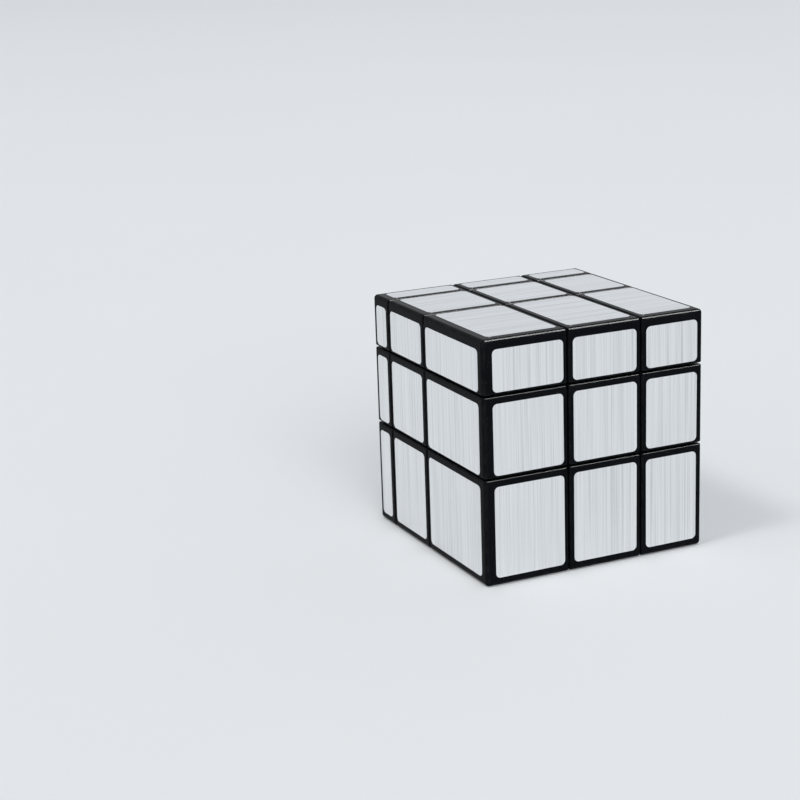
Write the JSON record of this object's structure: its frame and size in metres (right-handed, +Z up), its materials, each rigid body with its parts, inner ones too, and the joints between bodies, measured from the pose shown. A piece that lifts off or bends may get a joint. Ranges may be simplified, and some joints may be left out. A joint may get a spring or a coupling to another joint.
{
  "type": "mirror block puzzle",
  "caption": "Cube-shaped twisty puzzle with layers of unequal depth: black blocks with brushed silver faces that turn in layers about a sprung central core.",
  "frame": {"origin": "centre of the bounding box's bottom face, on the surface the puzzle rests on", "axes": "+Z up through the thin top layer, -Y out of the face with the deepest layer behind it, +X out of the face on the right when that face is looked at"},
  "size_m": [0.057, 0.057, 0.057],
  "materials": {
    "black_plastic": "glossy moulded ABS with faint moulding texture and fine handling scratches",
    "inner_plastic": "satin moulded ABS",
    "steel": "bright zinc-plated steel",
    "sticker": "brushed silver foil with long straight brush lines"
  },
  "bodies": {
    "core": {"core": "inner_plastic", "screw_right": "steel", "spring_right": "steel", "washer_right": "steel", "screw_left": "steel", "spring_left": "steel", "washer_left": "steel", "screw_back": "steel", "spring_back": "steel", "washer_back": "steel", "screw_front": "steel", "spring_front": "steel", "washer_front": "steel", "screw_up": "steel", "spring_up": "steel", "washer_up": "steel", "screw_down": "steel", "spring_down": "steel", "washer_down": "steel"},
    "right_centre": {"centre_body_right": "inner_plastic", "centre_cap_right": "black_plastic"},
    "left_centre": {"centre_body_left": "inner_plastic", "centre_cap_left": "black_plastic"},
    "back_centre": {"centre_body_back": "inner_plastic", "centre_cap_back": "black_plastic"},
    "front_centre": {"centre_body_front": "inner_plastic", "centre_cap_front": "black_plastic"},
    "up_centre": {"centre_body_up": "inner_plastic", "centre_cap_up": "black_plastic"},
    "down_centre": {"centre_body_down": "inner_plastic", "centre_cap_down": "black_plastic"},
    "up_front_edge": {"edge_up_front": "black_plastic"},
    "up_right_edge": {"edge_up_right": "black_plastic"},
    "up_back_edge": {"edge_up_back": "black_plastic"},
    "up_left_edge": {"edge_up_left": "black_plastic"},
    "front_right_edge": {"edge_front_right": "black_plastic"},
    "right_back_edge": {"edge_right_back": "black_plastic"},
    "back_left_edge": {"edge_back_left": "black_plastic"},
    "left_front_edge": {"edge_left_front": "black_plastic"},
    "down_front_edge": {"edge_down_front": "black_plastic"},
    "down_right_edge": {"edge_down_right": "black_plastic"},
    "down_back_edge": {"edge_down_back": "black_plastic"},
    "down_left_edge": {"edge_down_left": "black_plastic"},
    "up_front_right_corner": {"corner_shell_up_front_right": "black_plastic", "corner_foot_up_front_right": "inner_plastic"},
    "up_right_back_corner": {"corner_shell_up_right_back": "black_plastic", "corner_foot_up_right_back": "inner_plastic"},
    "up_back_left_corner": {"corner_shell_up_back_left": "black_plastic", "corner_foot_up_back_left": "inner_plastic"},
    "up_left_front_corner": {"corner_shell_up_left_front": "black_plastic", "corner_foot_up_left_front": "inner_plastic"},
    "down_front_right_corner": {"corner_shell_down_front_right": "black_plastic", "corner_foot_down_front_right": "inner_plastic"},
    "down_right_back_corner": {"corner_shell_down_right_back": "black_plastic", "corner_foot_down_right_back": "inner_plastic"},
    "down_back_left_corner": {"corner_shell_down_back_left": "black_plastic", "corner_foot_down_back_left": "inner_plastic"},
    "down_left_front_corner": {"corner_shell_down_left_front": "black_plastic", "corner_foot_down_left_front": "inner_plastic"}
  },
  "joints": [
    {"name": "right_turn", "type": "hinge", "parent": "core", "child": "right_centre", "pos_m": [0.0024, 0.0103, 0.0346], "axis": [1, 0, 0], "continuous": true},
    {"name": "left_turn", "type": "hinge", "parent": "core", "child": "left_centre", "pos_m": [0.0024, 0.0103, 0.0346], "axis": [-1, 0, 0], "continuous": true},
    {"name": "back_turn", "type": "hinge", "parent": "core", "child": "back_centre", "pos_m": [0.0024, 0.0103, 0.0346], "axis": [0, 1, 0], "continuous": true},
    {"name": "front_turn", "type": "hinge", "parent": "core", "child": "front_centre", "pos_m": [0.0024, 0.0103, 0.0346], "axis": [0, -1, 0], "continuous": true},
    {"name": "up_turn", "type": "hinge", "parent": "core", "child": "up_centre", "pos_m": [0.0024, 0.0103, 0.0346], "axis": [0, 0, 1], "continuous": true},
    {"name": "down_turn", "type": "hinge", "parent": "core", "child": "down_centre", "pos_m": [0.0024, 0.0103, 0.0346], "axis": [0, 0, -1], "continuous": true},
    {"name": "up_front_edge_follow", "type": "hinge", "parent": "up_centre", "child": "up_front_edge", "pos_m": [0.0024, 0.0103, 0.0346], "axis": [0, -1, 0], "continuous": true},
    {"name": "up_right_edge_follow", "type": "hinge", "parent": "up_centre", "child": "up_right_edge", "pos_m": [0.0024, 0.0103, 0.0346], "axis": [1, 0, 0], "continuous": true},
    {"name": "up_back_edge_follow", "type": "hinge", "parent": "up_centre", "child": "up_back_edge", "pos_m": [0.0024, 0.0103, 0.0346], "axis": [0, 1, 0], "continuous": true},
    {"name": "up_left_edge_follow", "type": "hinge", "parent": "up_centre", "child": "up_left_edge", "pos_m": [0.0024, 0.0103, 0.0346], "axis": [-1, 0, 0], "continuous": true},
    {"name": "front_right_edge_follow", "type": "hinge", "parent": "front_centre", "child": "front_right_edge", "pos_m": [0.0024, 0.0103, 0.0346], "axis": [1, 0, 0], "continuous": true},
    {"name": "right_back_edge_follow", "type": "hinge", "parent": "right_centre", "child": "right_back_edge", "pos_m": [0.0024, 0.0103, 0.0346], "axis": [0, 1, 0], "continuous": true},
    {"name": "back_left_edge_follow", "type": "hinge", "parent": "back_centre", "child": "back_left_edge", "pos_m": [0.0024, 0.0103, 0.0346], "axis": [-1, 0, 0], "continuous": true},
    {"name": "left_front_edge_follow", "type": "hinge", "parent": "left_centre", "child": "left_front_edge", "pos_m": [0.0024, 0.0103, 0.0346], "axis": [0, -1, 0], "continuous": true},
    {"name": "down_front_edge_follow", "type": "hinge", "parent": "front_centre", "child": "down_front_edge", "pos_m": [0.0024, 0.0103, 0.0346], "axis": [0, 0, -1], "continuous": true},
    {"name": "down_right_edge_follow", "type": "hinge", "parent": "right_centre", "child": "down_right_edge", "pos_m": [0.0024, 0.0103, 0.0346], "axis": [0, 0, -1], "continuous": true},
    {"name": "down_back_edge_follow", "type": "hinge", "parent": "back_centre", "child": "down_back_edge", "pos_m": [0.0024, 0.0103, 0.0346], "axis": [0, 0, -1], "continuous": true},
    {"name": "down_left_edge_follow", "type": "hinge", "parent": "left_centre", "child": "down_left_edge", "pos_m": [0.0024, 0.0103, 0.0346], "axis": [0, 0, -1], "continuous": true},
    {"name": "up_front_right_corner_follow", "type": "hinge", "parent": "front_right_edge", "child": "up_front_right_corner", "pos_m": [0.0024, 0.0103, 0.0346], "axis": [0, 0, 1], "continuous": true},
    {"name": "up_right_back_corner_follow", "type": "hinge", "parent": "right_back_edge", "child": "up_right_back_corner", "pos_m": [0.0024, 0.0103, 0.0346], "axis": [0, 0, 1], "continuous": true},
    {"name": "up_back_left_corner_follow", "type": "hinge", "parent": "back_left_edge", "child": "up_back_left_corner", "pos_m": [0.0024, 0.0103, 0.0346], "axis": [0, 0, 1], "continuous": true},
    {"name": "up_left_front_corner_follow", "type": "hinge", "parent": "left_front_edge", "child": "up_left_front_corner", "pos_m": [0.0024, 0.0103, 0.0346], "axis": [0, 0, 1], "continuous": true},
    {"name": "down_front_right_corner_follow", "type": "hinge", "parent": "front_right_edge", "child": "down_front_right_corner", "pos_m": [0.0024, 0.0103, 0.0346], "axis": [0, 0, -1], "continuous": true},
    {"name": "down_right_back_corner_follow", "type": "hinge", "parent": "right_back_edge", "child": "down_right_back_corner", "pos_m": [0.0024, 0.0103, 0.0346], "axis": [0, 0, -1], "continuous": true},
    {"name": "down_back_left_corner_follow", "type": "hinge", "parent": "back_left_edge", "child": "down_back_left_corner", "pos_m": [0.0024, 0.0103, 0.0346], "axis": [0, 0, -1], "continuous": true},
    {"name": "down_left_front_corner_follow", "type": "hinge", "parent": "left_front_edge", "child": "down_left_front_corner", "pos_m": [0.0024, 0.0103, 0.0346], "axis": [0, 0, -1], "continuous": true}
  ],
  "couplings": [
    {"joint": "up_front_edge_follow", "follows": "front_turn", "ratio": 1},
    {"joint": "up_right_edge_follow", "follows": "right_turn", "ratio": 1},
    {"joint": "up_back_edge_follow", "follows": "back_turn", "ratio": 1},
    {"joint": "up_left_edge_follow", "follows": "left_turn", "ratio": 1},
    {"joint": "front_right_edge_follow", "follows": "right_turn", "ratio": 1},
    {"joint": "right_back_edge_follow", "follows": "back_turn", "ratio": 1},
    {"joint": "back_left_edge_follow", "follows": "left_turn", "ratio": 1},
    {"joint": "left_front_edge_follow", "follows": "front_turn", "ratio": 1},
    {"joint": "down_front_edge_follow", "follows": "down_turn", "ratio": 1},
    {"joint": "down_right_edge_follow", "follows": "down_turn", "ratio": 1},
    {"joint": "down_back_edge_follow", "follows": "down_turn", "ratio": 1},
    {"joint": "down_left_edge_follow", "follows": "down_turn", "ratio": 1},
    {"joint": "up_front_right_corner_follow", "follows": "up_turn", "ratio": 1},
    {"joint": "up_right_back_corner_follow", "follows": "up_turn", "ratio": 1},
    {"joint": "up_back_left_corner_follow", "follows": "up_turn", "ratio": 1},
    {"joint": "up_left_front_corner_follow", "follows": "up_turn", "ratio": 1},
    {"joint": "down_front_right_corner_follow", "follows": "down_turn", "ratio": 1},
    {"joint": "down_right_back_corner_follow", "follows": "down_turn", "ratio": 1},
    {"joint": "down_back_left_corner_follow", "follows": "down_turn", "ratio": 1},
    {"joint": "down_left_front_corner_follow", "follows": "down_turn", "ratio": 1}
  ]
}
